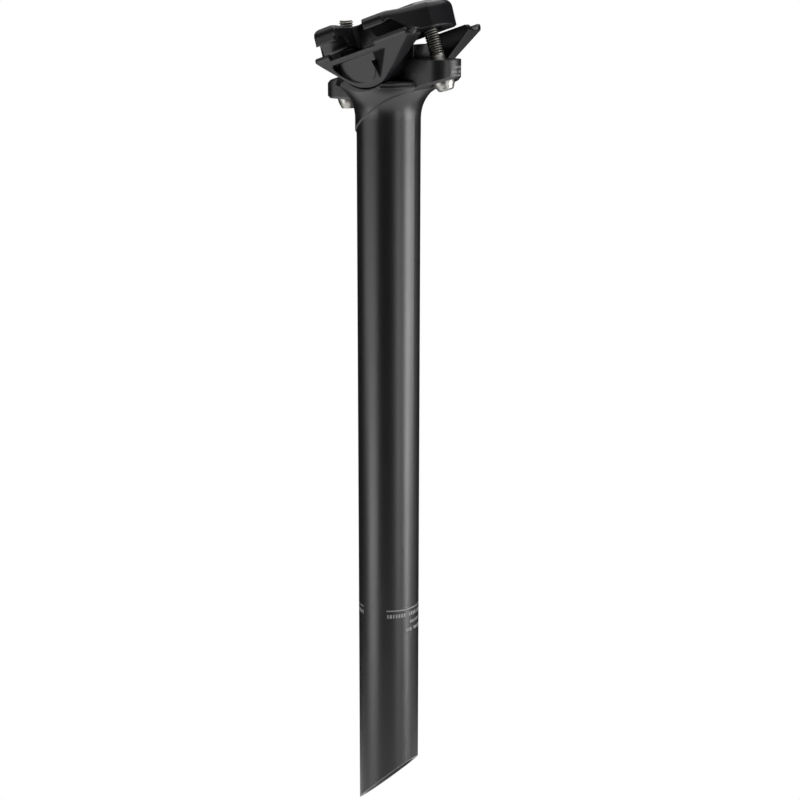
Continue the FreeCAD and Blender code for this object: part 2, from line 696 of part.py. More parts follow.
def build_upper_clamp():
    body = new_body("upper_clamp")
    body.Placement = CLAMP_PLACE

    # plan: two noses joined by a bar with two fingers each side, whose waists are hollow curves
    plan = new_sketch(body, "plan", "XY_Plane", (0, 0, -size.clamp_floor))
    draw(plan, clamp_plan())
    pad(body, plan, size.clamp_top + size.clamp_floor)
    soften(body, "nose_crowns", size.nose_round, is_nose_crown)

    # a shallow saddle across the top, by the front fingers
    saddle = new_sketch(body, "saddle", "XZ_Plane")
    front, rear, low, high = size.saddle_front, size.saddle_rear, size.saddle_top, size.clamp_top
    draw(saddle, [
        Line(-front - rear, high), Line(-front, low), Line(-rear, low), Line(rear, high),
        Line(rear, high + 5), Line(-front - rear, high + 5),
    ])
    pocket(body, saddle, BEYOND * 2, both_ways=True)

    # the front fingers stand higher, with round backs, and slope away towards the gap
    reach, top, inside = size.finger_reach, size.front_finger_top, size.front_finger_inside
    fingers = new_sketch(body, "front_fingers", "YZ_Plane", (0, 0, -size.finger_gap))
    for sides in both_sides([
        Line(reach, 6), Line(reach, top), Line(inside + 2.8, top), Line(inside, top - 2.2), Line(inside, 6),
    ]):
        draw(fingers, sides)
    pad(body, fingers, size.finger_end - size.finger_gap, reverse=True)
    run, fall = size.front_finger_slope, top - low
    bend = (run * run + fall * fall) / (fall * 2)
    slope = new_sketch(body, "front_finger_ends", "XZ_Plane")
    draw(slope, [
        Line(-size.finger_end, top - 2), Arc(2 - size.finger_end, top, 2, -1),
        Line(-size.finger_gap - run, top), Arc(-size.finger_gap, low, bend, -1),
        Line(-size.finger_gap, top + 2), Line(-size.finger_end, top + 2),
    ])
    pocket(body, slope, BEYOND * 2, both_ways=True)
    trim_backs(body, "front_backs", top, size.front_finger_round, reverse=False)

    # the rear fingers lie lower than the noses, past an easy step
    lower = new_sketch(body, "rear_fingers", "YZ_Plane")
    run, drop = size.finger_step, (high - size.finger_top) / 2
    turn = (run * run + drop * drop) / (drop * 2)
    start = size.nose_half + 0.6
    for sides in both_sides([
        Line(BEYOND, high + 3), Line(start, high + 3), Line(start, high),
        Arc(start + run, high - drop, turn, -1), Arc(start + run * 2, size.finger_top, turn, 1),
        Line(BEYOND, size.finger_top),
    ]):
        draw(lower, sides)
    pocket(body, lower, BEYOND, reverse=True)
    trim_backs(body, "rear_backs", size.finger_top, size.rear_finger_round, reverse=True)

    # underside: rail grooves whose inner walls run down to the middle
    under = new_sketch(body, "underside", "YZ_Plane")
    rail_v, rail_w, lip, wall = size.rail_spacing / 2, size.clamp_open, size.finger_lip, size.groove_wall
    lip_run = root(rail_radius * rail_radius - (lip - rail_w) * (lip - rail_w))
    wall_w = rail_w + root(rail_radius * rail_radius - wall * wall)
    belly = size.belly_half
    for sides in both_sides([
        Line(belly, -size.clamp_floor), Line(belly, -6), Line(BEYOND, -6), Line(BEYOND, lip),
        Line(rail_v + lip_run, lip), Arc(rail_v - wall, wall_w, rail_radius, 1), Line(size.wing_inside, 1),
        Arc(size.belly_edge, 0, size.belly_curve, -1),
    ]):
        draw(under, sides)
    pocket(body, under, BEYOND * 2, both_ways=True)

    # wells for the barrel nuts, open below, which also clear the trough's walls
    bore, height, nut_u = size.nut_radius + size.nut_gap, size.nut_height, size.nut_reach
    ceiling_u, ceiling_w = nut_u - bore * sine(size.well_slope), height + bore * cosine(size.well_slope)
    start, fall = size.well_start, tangent(size.well_slope)
    wells = new_sketch(body, "nut_wells", "XZ_Plane")
    sides = [
        Line(size.well_end, -6), Line(size.well_end, height - bore), Line(nut_u, height - bore),
        Arc(nut_u + bore, height, bore, 1), Arc(ceiling_u, ceiling_w, bore, 1),
        Line(start, ceiling_w - (ceiling_u - start) * fall), Line(start, -6),
    ]
    draw(wells, sides)
    draw(wells, mirrored(sides, x=True))
    pocket(body, wells, size.nut_length + size.nut_play * 2, both_ways=True)

    # slots through which the bolts pass as the clamp tilts
    cut_slot(body, "front_slot", -1, size.front_slot_low, size.front_slot_high)
    cut_slot(body, "rear_slot", 1, size.rear_slot_low, size.rear_slot_high)
    doc.recompute()
    return body


def clamp_plan():
    """Outline of the clamp seen from above."""
    nose_u, nose_v, nose = size.nose_end, size.nose_half, size.nose_radius
    end_u, end_v, waist = size.finger_end, size.finger_reach, size.waist_radius
    gap, depth, corner, tip = size.finger_gap, size.waist_depth, size.gap_corner, size.finger_corner
    near = [
        Arc(-end_u, -end_v, waist, -1), Line(-gap - tip, -end_v), Arc(-gap, tip - end_v, tip, 1),
        Line(-gap, -depth - corner), Arc(corner - gap, -depth, corner, -1), Line(gap - corner, -depth),
        Arc(gap, -depth - corner, corner, -1), Line(gap, tip - end_v), Arc(gap + tip, -end_v, tip, 1),
        Line(end_u, -end_v), Arc(nose_u, -nose_v, waist, -1),
    ]
    far = [
        Arc(end_u, end_v, waist, -1), Line(gap + tip, end_v), Arc(gap, end_v - tip, tip, 1),
        Line(gap, depth + corner), Arc(gap - corner, depth, corner, -1), Line(corner - gap, depth),
        Arc(-gap, depth + corner, corner, -1), Line(-gap, end_v - tip), Arc(-gap - tip, end_v, tip, 1),
        Line(-end_u, end_v), Arc(-nose_u, nose_v, waist, -1),
    ]
    return near + [Arc(nose_u, nose_v, nose, 1)] + far + [Arc(-nose_u, -nose_v, nose, 1)]


def trim_backs(body, name, top, back, reverse):
    """Rounds the backs of one pair of fingers, whose tops lie at top."""
    trim = new_sketch(body, name, "YZ_Plane")
    reach = size.finger_reach
    for sides in both_sides([
        Line(BEYOND, top + 3), Line(reach - back, top + 3), Line(reach - back, top),
        Arc(reach, top - back, back, -1), Line(BEYOND, top - back),
    ]):
        draw(trim, sides)
    pocket(body, trim, BEYOND, reverse=reverse)


def cut_slot(body, name, way, low, high):
    """A slot about a nut's axis that lets its bolt lean from low to high degrees over the rails."""
    reach = Size.of(14)
    fan = new_sketch(body, name, "XZ_Plane", (size.nut_reach * way, size.nut_height, 0))
    up = [
        Line(reach * cosine(low), reach * sine(low)), Line(reach * cosine(high), reach * sine(high)),
        Line(0, 0.01),
    ]
    draw(fan, up)
    draw(fan, mirrored(mirrored(up, x=True), y=True))
    pocket(body, fan, size.slot_radius * 2, both_ways=True)
    for number, angle in enumerate((low, high)):
        round_end = new_sketch(body, "%s_end_%d" % (name, number), "XZ_Plane")
        round_end.AttachmentOffset = FreeCAD.Placement(
            FreeCAD.Vector(size.nut_reach.value * way, size.nut_height.value, 0),
            FreeCAD.Rotation(FreeCAD.Vector(0, 0, 1), angle.value - 90),
        )
        draw(round_end, [
            Line(size.slot_radius, -reach), Line(size.slot_radius, reach), Line(0, reach), Line(0, -reach),
        ])
        revolve(body, round_end, "PartDesign::Groove")


def is_nose_crown(edge):
    """Upper edges round the two noses and along the waists beside them."""
    places = [vertex.Point for vertex in edge.Vertexes]
    on_top = all(abs(place.z - size.clamp_top.value) < 0.01 for place in places)
    return on_top and max(abs(place.x) for place in places) > size.nose_end.value - 0.1


def build_nut(label, side, lean):
    """A cross nut, turned across the clamp, with its threaded hole along the bolt."""
    body = new_body(label)
    body.Placement = nut_place(side, lean)
    barrel = new_sketch(body, label + "_barrel", "XZ_Plane")
    draw_circle(barrel, 0, 0, size.nut_radius)
    pad(body, barrel, size.nut_length, both_ways=True)
    hole = new_sketch(body, label + "_hole", "XY_Plane")
    draw_circle(hole, 0, 0, size.nut_hole)
    pocket(body, hole, 20, both_ways=True)
    doc.recompute()
    return body


def build_bolt(label, place):
    """Shank and tapered socket head; the head bears under the washer."""
    body = new_body(label)
    body.Placement = place
    base, shank = size.washer_base, size.bolt_radius
    foot = base - size.head_height
    outline = new_sketch(body, label + "_outline", "XZ_Plane")
    draw(outline, [
        Line(size.head_foot, foot), Arc(size.head_radius, base - size.head_rim, size.head_curve, 1),
        Line(size.head_radius, base), Line(shank, base), Line(shank, size.bolt_length - size.bolt_chamfer),
        Line(shank - size.bolt_chamfer, size.bolt_length), Line(0, size.bolt_length), Line(0, foot),
    ])
    revolve(body, outline)
    socket = new_sketch(body, label + "_socket", "XY_Plane", (0, 0, foot))
    draw(socket, [
        Line(size.socket_radius * cosine(Size.of(60 * i)), size.socket_radius * sine(Size.of(60 * i)))
        for i in range(6)
    ])
    pocket(body, socket, size.socket_depth, reverse=True)
    doc.recompute()
    return body


def build_washer(label, place):
    """A washer with a domed top that turns in the ear's hollow seat."""
    body = new_body(label)
    body.Placement = place
    ball, base, top, hole = size.seat_radius, size.washer_base, size.washer_top, size.washer_hole
    outline = new_sketch(body, label + "_outline", "XZ_Plane")
    draw(outline, [
        Line(hole, base), Line(root(ball * ball - base * base), base),
        Arc(root(ball * ball - top * top), top, ball, 1), Line(hole, top),
    ])
    revolve(body, outline)
    doc.recompute()
    return body


PIECES = [
    build_post(),
    build_lower_cradle(),
    build_upper_clamp(),
    build_bolt("front_bolt", FRONT_BOLT),
    build_bolt("rear_bolt", REAR_BOLT),
    build_washer("front_washer", FRONT_BOLT),
    build_washer("rear_washer", REAR_BOLT),
    build_nut("front_barrel_nut", -1, size.front_lean),
    build_nut("rear_barrel_nut", 1, size.rear_lean),
]

doc.recompute()
for item in doc.Objects:
    if "Invalid" in item.State or "Error" in item.State:
        raise RuntimeError("%s did not compute" % item.Name)
for piece in PIECES:
    if piece.Shape.isNull() or not piece.Shape.isValid() or len(piece.Shape.Solids) != 1:
        raise RuntimeError("%s is not one whole solid" % piece.Label)
os.makedirs("parts", exist_ok=True)
for piece in PIECES:
    piece.Shape.exportStep("parts/%s.step" % piece.Label)
    print("%s %.1f mm3" % (piece.Label, piece.Shape.Volume))
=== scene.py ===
"""Looks of a round bicycle seatpost with a two-bolt head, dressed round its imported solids.

The row frame has its origin on the tube's axis at the minimum insertion line, +Z up the tube,
+X to the rear of the bicycle and +Y to its right-hand side. Sizes are in millimetres where a name
doesn't say otherwise, and MM turns them into Blender's metres.
"""

import bmesh
import bpy
import logging
import math
from dataclasses import dataclass, field
from enum import Enum
from mathutils import Matrix, Vector


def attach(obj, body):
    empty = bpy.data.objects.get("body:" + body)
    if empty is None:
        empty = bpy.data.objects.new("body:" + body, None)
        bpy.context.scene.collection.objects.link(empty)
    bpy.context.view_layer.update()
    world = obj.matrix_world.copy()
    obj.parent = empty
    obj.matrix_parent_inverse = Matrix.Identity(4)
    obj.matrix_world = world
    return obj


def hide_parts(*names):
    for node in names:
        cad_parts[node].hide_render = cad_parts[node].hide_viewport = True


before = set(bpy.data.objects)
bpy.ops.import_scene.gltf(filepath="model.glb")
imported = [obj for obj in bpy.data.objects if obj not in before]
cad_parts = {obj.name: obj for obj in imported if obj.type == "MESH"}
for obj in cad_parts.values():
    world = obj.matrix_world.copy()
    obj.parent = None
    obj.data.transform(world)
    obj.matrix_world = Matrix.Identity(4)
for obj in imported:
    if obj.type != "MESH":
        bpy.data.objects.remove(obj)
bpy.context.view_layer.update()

LOG = logging.getLogger("seatpost")
MM = 0.001
FULL_TURN = 2 * math.pi
GROOVE = "groove"
WHITE = (1.0, 1.0, 1.0, 1.0)
SocketValue = "Wire | float | int | bool | tuple | bpy.types.Material"
Colour = tuple[float, float, float]


class Body(Enum):
    """The rigid bodies that pieces ride on."""

    POST = "post"
    FRONT_BOLT = "front_bolt"
    REAR_BOLT = "rear_bolt"


class Slot(Enum):
    """The record's material slots for pieces that replace a solid, which this script doesn't give to any
    piece.
    """

    BOLT = "bolt_steel"


class Wire:
    """An output socket of a node tree. Arithmetic on it adds Math nodes to the tree."""

    def __init__(self, tree: "Tree", socket: bpy.types.NodeSocket) -> None:
        """Wraps one socket.

        Args:
            tree: The tree that the socket belongs to.
            socket: The output socket.
        """
        self.tree = tree
        self.socket = socket

    def math(self, operation: str, *others: "Wire | float") -> "Wire":
        """Adds a Math node whose first operand is this wire.

        Args:
            operation: The Math node's operation.
            others: The operands after this one.

        Returns:
            The node's result.
        """
        return self.tree.math(operation, self, *others)

    def __add__(self, other: "Wire | float") -> "Wire":
        """Sum of two values."""
        return self.math("ADD", other)

    __radd__ = __add__

    def __sub__(self, other: "Wire | float") -> "Wire":
        """Difference of two values."""
        return self.math("SUBTRACT", other)

    def __rsub__(self, other: float) -> "Wire":
        """Difference of a number and this value."""
        return self.tree.math("SUBTRACT", other, self)

    def __mul__(self, other: "Wire | float") -> "Wire":
        """Product of two values."""
        return self.math("MULTIPLY", other)

    __rmul__ = __mul__

    def __truediv__(self, other: "Wire | float") -> "Wire":
        """Quotient of two values."""
        return self.math("DIVIDE", other)

    def clamped(self) -> "Wire":
        """This value held between 0 and 1."""
        return self.math("MINIMUM", 1.0).math("MAXIMUM", 0.0)


class Tree:
    """A node tree that is built in code, of a material, a world or Geometry Nodes."""

    def __init__(self, tree: bpy.types.NodeTree) -> None:
        """Empties a node tree and wraps it.

        Args:
            tree: The tree to build in.
        """
        self.tree = tree
        self.tree.nodes.clear()

    def add(
        self,
        kind: str,
        settings: dict[str, object] | None = None,
        sockets: dict[str | int, SocketValue] | None = None,
        out: str | int = 0,
    ) -> Wire:
        """Adds a node.

        Args:
            kind: The node's type.
            settings: Attributes of the node, set before its sockets.
            sockets: Values or wires for its input sockets.
            out: Which output to return.

        Returns:
            The chosen output, or the node's first input where it has no output.
        """
        node = self.tree.nodes.new(kind)
        for name, value in (settings or {}).items():
            setattr(node, name, value)
        for key, value in (sockets or {}).items():
            if isinstance(value, Wire):
                self.tree.links.new(value.socket, node.inputs[key])
            else:
                node.inputs[key].default_value = value
        return Wire(self, node.outputs[out] if len(node.outputs) else node.inputs[0])

    def math(self, operation: str, *operands: Wire | float) -> Wire:
        """Adds a Math node.

        Args:
            operation: The node's operation.
            operands: Its operands, in order.

        Returns:
            The node's result.
        """
        return self.add("ShaderNodeMath", {"operation": operation}, dict(enumerate(operands)))

    def split(self, vector: Wire) -> tuple[Wire, Wire, Wire]:
        """The three parts of a vector.

        Args:
            vector: The vector.

        Returns:
            Its X, Y and Z.
        """
        node = self.add("ShaderNodeSeparateXYZ", sockets={0: vector}).socket.node
        return tuple(Wire(self, output) for output in node.outputs)

    def joined(self, x: Wire | float, y: Wire | float, z: Wire | float) -> Wire:
        """A vector from its three parts.

        Args:
            x: Its X.
            y: Its Y.
            z: Its Z.

        Returns:
            The vector.
        """
        return self.add("ShaderNodeCombineXYZ", sockets={0: x, 1: y, 2: z})


class SurfaceTree(Tree):
    """The node tree of one material, with the object's own coordinates at hand."""

    def __init__(self, name: str) -> None:
        """Makes a material with an empty tree.

        Args:
            name: The material's name.
        """
        self.material = bpy.data.materials.new(name)
        self.material.use_nodes = True
        super().__init__(self.material.node_tree)
        self.place = self.add("ShaderNodeTexCoord", out="Object")

    def noise(self, size_mm: float, detail: float = 2.0, roughness: float = 0.5) -> Wire:
        """Even noise from 0 to 1 over the object's own coordinates.

        Args:
            size_mm: The size of one grain.
            detail: How many finer layers it has.
            roughness: How strong the finer layers are.

        Returns:
            The noise.
        """
        return self.add("ShaderNodeTexNoise", {"noise_dimensions": "3D"}, {
            "Vector": self.place, "Scale": 1 / (size_mm * MM), "Detail": detail, "Roughness": roughness,
        })

    def mixed(self, share: Wire, first: "Colour | Wire", second: Colour) -> Wire:
        """A colour between two.

        Args:
            share: How much of the second colour shows, from 0 to 1.
            first: The first colour, fixed or varying.
            second: The second colour.

        Returns:
            The mixed colour.
        """
        start = first if isinstance(first, Wire) else (*first, 1.0)
        sockets = {0: share, 6: start, 7: (*second, 1.0)}
        return self.add("ShaderNodeMix", {"data_type": "RGBA"}, sockets, out=2)

    def softened(self, edge_mm: float, samples: int, height: Wire, height_mm: float, strength: float) -> Wire:
        """A normal with rounded edges and a fine relief.

        Args:
            edge_mm: The edges' radius.
            samples: Rays used for the edges.
            height: The relief, from 0 to 1.
            height_mm: The relief's full height.
            strength: How strongly it shows.

        Returns:
            The normal.
        """
        edge = self.add("ShaderNodeBevel", {"samples": samples}, {"Radius": edge_mm * MM})
        return self.add("ShaderNodeBump", sockets={
            "Strength": strength, "Distance": height_mm * MM, "Height": height, "Normal": edge,
        })

    def finish(self, sockets: dict[str | int, SocketValue]) -> bpy.types.Material:
        """Adds the shader and the material's output.

        Args:
            sockets: Values and wires of the Principled BSDF.

        Returns:
            The finished material.
        """
        shader = self.add("ShaderNodeBsdfPrincipled", sockets=sockets)
        self.add("ShaderNodeOutputMaterial", sockets={"Surface": shader})
        return self.material


@dataclass(frozen=True)
class Anodised:
    """Black anodised aluminium, from bead-blasted to nearly smooth, under its clear oxide."""

    name: str
    colour: Colour
    roughness: float
    grain_mm: float
    grain_height_mm: float
    speck: float
    edge_mm: float
    oxide_ior: float = 1.77
    lightest: float = 1.9
    cloud_mm: float = 18.0
    cloud_roughness: float = 0.06
    grain_roughness: float = 0.35
    grain_detail: float = 3.0
    grain_fineness: float = 0.6

    def material(self) -> bpy.types.Material:
        """Builds the material.

        Returns:
            The material, with its grain, faint cloudiness and softened edges.
        """
        tree = SurfaceTree(self.name)
        grain = tree.noise(self.grain_mm, self.grain_detail, self.grain_fineness)
        cloud = tree.noise(self.cloud_mm)
        glint = (grain - 0.5) * self.speck
        lighter = tuple(part * self.lightest for part in self.colour)
        rougher = glint * self.grain_roughness + (cloud - 0.5) * self.cloud_roughness
        return tree.finish({
            "Base Color": tree.mixed((glint * 2.0 + 0.5).clamped(), self.colour, lighter),
            "Roughness": rougher + self.roughness,
            "IOR": self.oxide_ior,
            "Normal": tree.softened(self.edge_mm, 6, grain, self.grain_height_mm, 1.0),
        })


@dataclass(frozen=True)
class TurnedSteel:
    """Bare turned steel, bright or blackened, with painted shade down in a thread."""

    name: str
    colour: Colour
    stain: Colour
    roughness: float
    edge_mm: float = 0.12
    stain_mm: float = 1.7
    mark_mm: float = 0.22
    mark_height_mm: float = 0.004
    # How dark the painted shade down in a thread's grooves is, as a share of the steel's colour.
    groove_shade_share: float = 0.2
    stain_roughness: float = 0.12
    stain_detail: float = 3.0
    stain_start: float = 0.4
    stain_gain: float = 2.5

    def material(self) -> bpy.types.Material:
        """Builds the material.

        Returns:
            The material, with faint tool marks, a slight stain and painted shade in the thread's grooves.
        """
        tree = SurfaceTree(self.name)
        stain = tree.noise(self.stain_mm, self.stain_detail)
        marks = tree.noise(self.mark_mm)
        stained = ((stain - self.stain_start) * self.stain_gain).clamped()
        clean = tree.mixed(stained, self.colour, self.stain)
        deep = tree.add("ShaderNodeAttribute", {"attribute_name": GROOVE}, out="Fac")
        groove_shade = tuple(part * self.groove_shade_share for part in self.colour)
        return tree.finish({
            # Painted shade: the Base Color darkens down in the thread's grooves.
            "Base Color": tree.mixed(deep.clamped(), clean, groove_shade),
            "Metallic": 1.0,
            "Roughness": (stain - 0.5) * self.stain_roughness + self.roughness,
            "Normal": tree.softened(self.edge_mm, 4, marks, self.mark_height_mm, 0.5),
        })


@dataclass(frozen=True)
class PrintInk:
    """Thin light grey screen print."""

    name: str
    colour: Colour
    thin: Colour
    roughness: float = 0.5
    speck_mm: float = 0.35
    speck_start: float = 0.55
    speck_gain: float = 5.0
    speck_roughness: float = 0.1

    def material(self) -> bpy.types.Material:
        """Builds the material.

        Returns:
            The material, whose ink lies a little thinner in specks.
        """
        tree = SurfaceTree(self.name)
        cover = tree.noise(self.speck_mm)
        specks = ((cover - self.speck_start) * self.speck_gain).clamped()
        return tree.finish({
            "Base Color": tree.mixed(specks, self.colour, self.thin),
            "Roughness": cover * self.speck_roughness + self.roughness,
        })


POST_BLACK = Anodised("post_blasted_black", (0.008, 0.008, 0.0095), 0.34, 0.42, 0.035, 0.5, 0.5)
CLAMP_BLACK = Anodised("clamp_satin_black", (0.007, 0.007, 0.0085), 0.30, 0.30, 0.006, 0.16, 1.0, 1.62)
BOLT_STEEL = TurnedSteel("bolt_bright_steel", (0.52, 0.51, 0.48), (0.44, 0.42, 0.38), 0.36)
NUT_STEEL = TurnedSteel("nut_steel", (0.55, 0.54, 0.52), (0.45, 0.43, 0.40), 0.34)
WASHER_BLACK = TurnedSteel("washer_blackened", (0.05, 0.05, 0.055), (0.035, 0.035, 0.04), 0.38)
GREY_INK = PrintInk("print_grey", (0.50, 0.50, 0.51), (0.22, 0.22, 0.23))


class GrowthTree(Tree):
    """A Geometry Nodes tree with named inputs, that ends in plain geometry with a material."""

    def __init__(self, name: str, inputs: dict[str, str]) -> None:
        """Makes the tree and its sockets.

        Args:
            name: The tree's name.
            inputs: Socket type by input name; Geometry and Material are added to them.
        """
        super().__init__(bpy.data.node_groups.new(name, "GeometryNodeTree"))
        face = self.tree.interface
        face.new_socket("Geometry", in_out="OUTPUT", socket_type="NodeSocketGeometry")
        kinds = {"Geometry": "NodeSocketGeometry", **inputs, "Material": "NodeSocketMaterial"}
        self.identifiers = {
            label: face.new_socket(label, in_out="INPUT", socket_type=kind).identifier
            for label, kind in kinds.items()
        }
        source = self.tree.nodes.new("NodeGroupInput")
        self.given = {label: Wire(self, source.outputs[label]) for label in kinds}

    def end(self, geometry: Wire) -> None:
        """Closes the tree.

        Args:
            geometry: What the tree has made.
        """
        real = self.add("GeometryNodeRealizeInstances", sockets={0: geometry})
        dressed = self.add("GeometryNodeSetMaterial", sockets={
            "Geometry": real, "Material": self.given["Material"],
        })
        self.add("NodeGroupOutput", sockets={0: dressed})

    def with_input(self, grown: Wire) -> Wire:
        """Joins new geometry to the tree's Geometry input.

        Args:
            grown: The new geometry.

        Returns:
            Both together.
        """
        whole = self.add("GeometryNodeJoinGeometry", sockets={0: grown}).socket.node
        self.tree.links.new(self.given["Geometry"].socket, whole.inputs[0])
        return Wire(self, whole.outputs[0])

    def chance(self, number: Wire, seed: Wire) -> Wire:
        """A random value from 0 to 1 for each element.

        Args:
            number: The element's number.
            seed: The draw's seed.

        Returns:
            The value.
        """
        sockets = {"ID": number, "Seed": seed}
        return self.add("FunctionNodeRandomValue", {"data_type": "FLOAT"}, sockets, out=1)

    def grown(self, source: bpy.types.Mesh, values: dict[str, SocketValue]) -> bpy.types.Mesh:
        """Runs the tree once.

        Args:
            source: The mesh that enters as Geometry.
            values: Value by input name.

        Returns:
            The result as a plain mesh.
        """
        holder = bpy.data.objects.new(source.name + "_grown", source)
        bpy.context.scene.collection.objects.link(holder)
        modifier = holder.modifiers.new("grow", "NODES")
        modifier.node_group = self.tree
        for label, value in values.items():
            modifier[self.identifiers[label]] = value
        graph = bpy.context.evaluated_depsgraph_get()
        mesh = bpy.data.meshes.new_from_object(holder.evaluated_get(graph), depsgraph=graph)
        bpy.data.objects.remove(holder)
        return mesh


def thread_tree() -> GrowthTree:
    """Builds the tree that grows a screw thread with a closed end on a bolt's shank.

    Returns:
        The tree. Its Geometry input is the bolt's head and plain shank.
    """
    tree = GrowthTree("screw_thread", {
        "Around": "NodeSocketInt", "Rows": "NodeSocketInt", "Radius": "NodeSocketFloat",
        "Depth": "NodeSocketFloat", "Pitch": "NodeSocketFloat", "Start": "NodeSocketFloat",
        "Length": "NodeSocketFloat",
    })
    given = tree.given
    grid = tree.add("GeometryNodeMeshGrid", sockets={
        "Size X": 1.0, "Size Y": 1.0, "Vertices X": given["Around"] + 1, "Vertices Y": given["Rows"],
    })
    turn, way, _ = tree.split(tree.add("GeometryNodeInputPosition"))
    cap_share = 0.02
    crest_share, flank_share = 0.12, 0.76
    run_in_turns = 1.5
    weld_mm = 0.004
    travelled = (way + 0.5) * (1 + cap_share)
    along = travelled.math("MINIMUM", 1.0) * given["Length"]
    open_end = 1 - ((travelled - 1) / cap_share).clamped()
    phase = (along / given["Pitch"] - turn).math("FRACT")
    ridge = (((phase * 2 - 1).math("ABSOLUTE") - crest_share) / flank_share).clamped()
    run_in = (along / given["Pitch"] / run_in_turns).clamped()
    bevel = (along - given["Length"] + given["Depth"]).math("MAXIMUM", 0.0)
    deep = (1 - ridge) * run_in
    threaded = given["Radius"] - given["Depth"] * deep
    radius = threaded.math("MINIMUM", given["Radius"] - bevel) * open_end
    angle = turn * FULL_TURN
    place = tree.joined(radius * angle.math("COSINE"), radius * angle.math("SINE"), given["Start"] + along)
    # Stores how deep each point lies in the thread; the steel material paints shade in the grooves from it.
    cut = tree.add("GeometryNodeStoreNamedAttribute", {"data_type": "FLOAT", "domain": "POINT"}, {
        "Geometry": grid, "Name": GROOVE, "Value": deep,
    })
    screw = tree.add("GeometryNodeSetPosition", sockets={"Geometry": cut, "Position": place})
    sewn = tree.add("GeometryNodeMergeByDistance", sockets={
        "Geometry": tree.with_input(screw), "Distance": weld_mm * MM,
    })
    tree.end(sewn)
    return tree


def print_tree() -> GrowthTree:
    """Builds the tree that prints one row of small bars round a cylinder.

    Returns:
        The tree. Its Geometry input is joined to the row.
    """
    tree = GrowthTree("printed_row", {
        "Count": "NodeSocketInt", "Columns": "NodeSocketInt", "Step": "NodeSocketFloat",
        "Width": "NodeSocketFloat", "Height": "NodeSocketFloat", "Radius": "NodeSocketFloat",
        "Middle": "NodeSocketFloat", "Centre": "NodeSocketVector", "Gaps": "NodeSocketFloat",
        "Seed": "NodeSocketInt",
    })
    given = tree.given
    narrowest, surely = 0.45, 1000.0
    spots = tree.add("GeometryNodeMeshLine", sockets={"Count": given["Count"]})
    number = tree.add("GeometryNodeInputIndex")
    run = (number - (given["Count"] - 1) * 0.5) * given["Step"]
    spots = tree.add("GeometryNodeSetPosition", sockets={
        "Geometry": spots, "Position": tree.joined(run, 0.0, 0.0),
    })
    gap = tree.chance(number, given["Seed"]).math("LESS_THAN", given["Gaps"])
    spots = tree.add("GeometryNodeDeleteGeometry", sockets={"Geometry": spots, "Selection": gap})
    bar = tree.add("GeometryNodeMeshGrid", sockets={
        "Size X": given["Width"], "Size Y": given["Height"], "Vertices X": given["Columns"], "Vertices Y": 2,
    })
    narrow = 1 - tree.chance(number, given["Seed"] + 1) * narrowest * (given["Gaps"] * surely).clamped()
    bars = tree.add("GeometryNodeInstanceOnPoints", sockets={
        "Points": spots, "Instance": bar, "Scale": tree.joined(narrow, 1.0, 1.0),
    })
    flat = tree.add("GeometryNodeRealizeInstances", sockets={0: bars})
    run, rise, _ = tree.split(tree.add("GeometryNodeInputPosition"))
    angle = given["Middle"] + run / given["Radius"]
    rear, left = given["Radius"] * angle.math("SINE"), given["Radius"] * angle.math("COSINE")
    place = tree.add("ShaderNodeVectorMath", {"operation": "ADD"}, {
        0: tree.joined(rear, left * -1, rise), 1: given["Centre"],
    })
    wrapped = tree.add("GeometryNodeSetPosition", sockets={"Geometry": flat, "Position": place})
    tree.end(tree.with_input(wrapped))
    return tree


def placed(name: str, mesh: bpy.types.Mesh, body: Body) -> bpy.types.Object:
    """Puts a finished mesh in the scene, riding on its body.

    Args:
        name: The piece's name.
        mesh: The mesh, with its place in its points.
        body: The body that it rides on.

    Returns:
        The new object.
    """
    mesh.name = name
    piece = bpy.data.objects.new(name, mesh)
    bpy.context.scene.collection.objects.link(piece)
    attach(piece, body.value)
    LOG.info("%s: %d faces on %s", name, len(mesh.polygons), body.value)
    return piece


def dressed_node(node: str, material: bpy.types.Material) -> bpy.types.Object:
    """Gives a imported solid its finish.

    Args:
        node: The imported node.
        material: Its finish.

    Returns:
        The node's object.
    """
    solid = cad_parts[node]
    solid.data.materials.clear()
    solid.data.materials.append(material)
    LOG.info("%s: %d faces in %s", node, len(solid.data.polygons), material.name)
    return solid


@dataclass
class PrintRow:
    """One row of print round a cylinder: bars in place of lettering, or one bar as a line.

    A row with a seed has bars, and a row without one is a line.
    """

    level: float
    half_angle: float
    height: float
    seed: int = 0
    lift: float = 0.02
    bar_step: float = 0.78
    bar_share: float = 0.72
    gap_share: float = 0.14
    bar_columns: int = 3
    line_columns: int = 65

    def grow(
        self, tree: GrowthTree, under: bpy.types.Mesh, radius: float, middle: float, centre: Vector,
        ink: bpy.types.Material,
    ) -> bpy.types.Mesh:
        """Prints the row.

        Args:
            tree: The tree that prints a row.
            under: The mesh to which the row is added.
            radius: The printed cylinder's radius.
            middle: Angle of the row's middle, in degrees from -Y towards +X.
            centre: A point on the cylinder's axis.
            ink: The ink.

        Returns:
            The mesh with the row.
        """
        length = 2 * math.radians(self.half_angle) * radius
        letter = self.height * self.bar_step
        count = max(1, round(length / letter)) if self.seed else 1
        return tree.grown(under, {
            "Count": count,
            "Columns": self.bar_columns if self.seed else self.line_columns,
            "Step": length / count * MM,
            "Width": (letter * self.bar_share if self.seed else length) * MM,
            "Height": self.height * MM,
            "Radius": (radius + self.lift) * MM,
            "Middle": math.radians(middle),
            "Centre": tuple((centre + Vector((0, 0, self.level))) * MM),
            "Gaps": self.gap_share if self.seed else 0.0,
            "Seed": self.seed,
            "Material": ink,
        })


